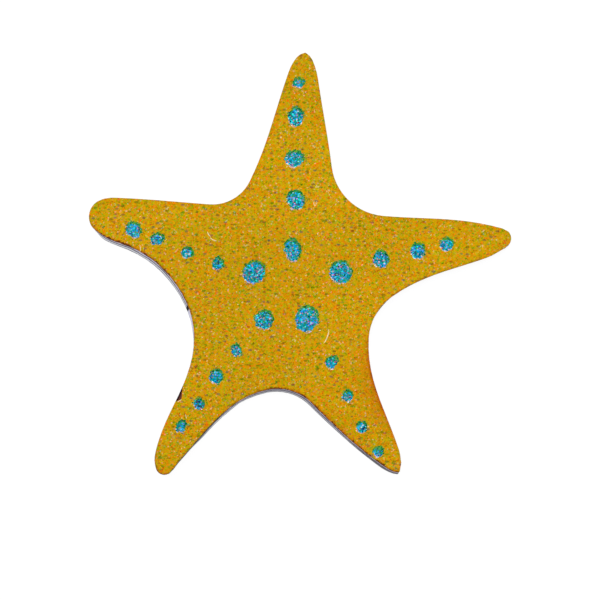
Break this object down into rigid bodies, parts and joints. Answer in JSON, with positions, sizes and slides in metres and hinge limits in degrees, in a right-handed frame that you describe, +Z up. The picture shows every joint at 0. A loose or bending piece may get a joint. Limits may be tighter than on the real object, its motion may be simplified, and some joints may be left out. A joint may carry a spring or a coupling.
{
  "type": "printed starfish charm",
  "caption": "Flat five-armed starfish charm: a cut metal plate with a mustard printed face and rows of blue spots, lying face up on its flat back.",
  "frame": {"origin": "middle of the plate's underside, at the centre of its bounding box", "axes": "+Z up, out of the printed face; +Y towards the end of the top arm; +X towards the right arm as the face is seen"},
  "size_m": [0.012, 0.012, 0.001],
  "materials": {
    "steel": "laser-cut stainless plate, silver grey, with brown heat tint along the cut",
    "mustard_ink": "ink-jet printed mustard ground, satin, with a fine grain of orange, green and pale dots",
    "blue_ink": "ink-jet printed blue spots, satin, with ragged dotted edges"
  },
  "bodies": {
    "root": {"base_plate": "steel", "print_ground": "mustard_ink", "spot_top_arm_1": "blue_ink", "spot_top_arm_2": "blue_ink", "spot_top_arm_3": "blue_ink", "spot_top_arm_4": "blue_ink", "spot_left_arm_1": "blue_ink", "spot_left_arm_2": "blue_ink", "spot_left_arm_3": "blue_ink", "spot_left_arm_4": "blue_ink", "spot_lower_left_arm_1": "blue_ink", "spot_lower_left_arm_2": "blue_ink", "spot_lower_left_arm_3": "blue_ink", "spot_lower_left_arm_4": "blue_ink", "spot_lower_right_arm_1": "blue_ink", "spot_lower_right_arm_2": "blue_ink", "spot_lower_right_arm_3": "blue_ink", "spot_lower_right_arm_4": "blue_ink", "spot_right_arm_1": "blue_ink", "spot_right_arm_2": "blue_ink", "spot_right_arm_3": "blue_ink", "spot_centre_1": "blue_ink", "spot_centre_2": "blue_ink", "spot_centre_3": "blue_ink", "spot_centre_4": "blue_ink", "spot_centre_5": "blue_ink"}
  },
  "joints": []
}
